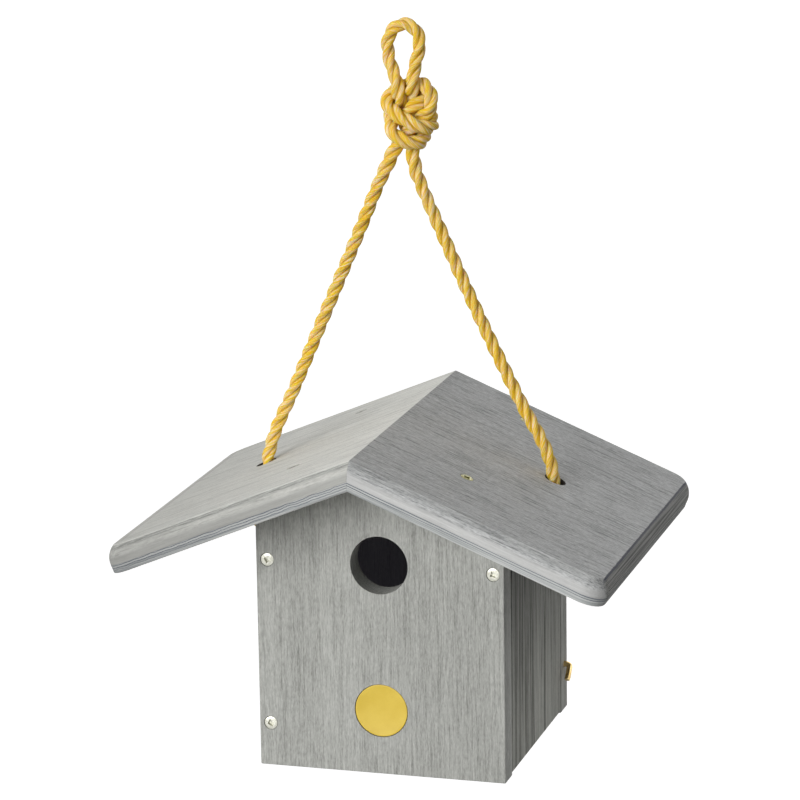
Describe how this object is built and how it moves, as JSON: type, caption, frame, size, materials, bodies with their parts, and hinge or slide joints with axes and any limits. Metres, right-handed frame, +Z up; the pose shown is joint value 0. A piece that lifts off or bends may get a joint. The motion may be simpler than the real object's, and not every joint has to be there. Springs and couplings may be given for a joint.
{
  "type": "hanging birdhouse",
  "caption": "Gabled nest box of half-inch boards with a round entrance, a clean-out side door on pivot screws, a turn latch and a knotted hanging rope.",
  "frame": {"origin": "inside top of the rope's loop, where a hook bears on it", "axes": "+X to the right seen from the front, +Y to the back, +Z up"},
  "size_m": [0.2436, 0.194, 0.3592],
  "materials": {
    "panel": "embossed wood grain, grey",
    "roof": "embossed wood grain with smooth routed edges, grey",
    "side": "embossed wood grain, grey",
    "badge": "satin yellow",
    "screw": "pale coated",
    "brass": "dull, slightly tarnished",
    "rope": "laid gold fibre"
  },
  "bodies": {
    "house": {"front_panel": "panel", "back_panel": "panel", "left_side_board": "side", "floor_board": "side", "roof_board_left": "roof", "roof_board_right": "roof", "badge_disc": "badge", "screw_front_left_top": "screw", "screw_front_left_low": "screw", "screw_front_pivot": "screw", "screw_back_left_top": "screw", "screw_back_left_low": "screw", "screw_back_pivot": "screw", "screw_roof_left_front": "screw", "screw_roof_left_back": "screw", "screw_roof_right_front": "screw", "screw_roof_right_back": "screw", "screw_floor_side_front": "screw", "screw_floor_side_back": "screw", "screw_floor_back": "screw", "rope_stopper_left": "rope", "rope_leg_left": "rope", "rope_hanging_knot": "rope", "rope_leg_right": "rope", "rope_stopper_right": "rope"},
    "door": {"clean_out_door": "side"},
    "latch": {"latch_hook": "brass"}
  },
  "joints": [
    {"name": "door_swing", "type": "hinge", "parent": "house", "child": "door", "pos_m": [0.0563, 0, -0.2493], "axis": [0, -1, 0], "range_deg": [0, 50]},
    {"name": "latch_turn", "type": "hinge", "parent": "house", "child": "latch", "pos_m": [0.0616, 0.0624, -0.329], "axis": [1, 0, 0], "range_deg": [-45, 135]}
  ]
}
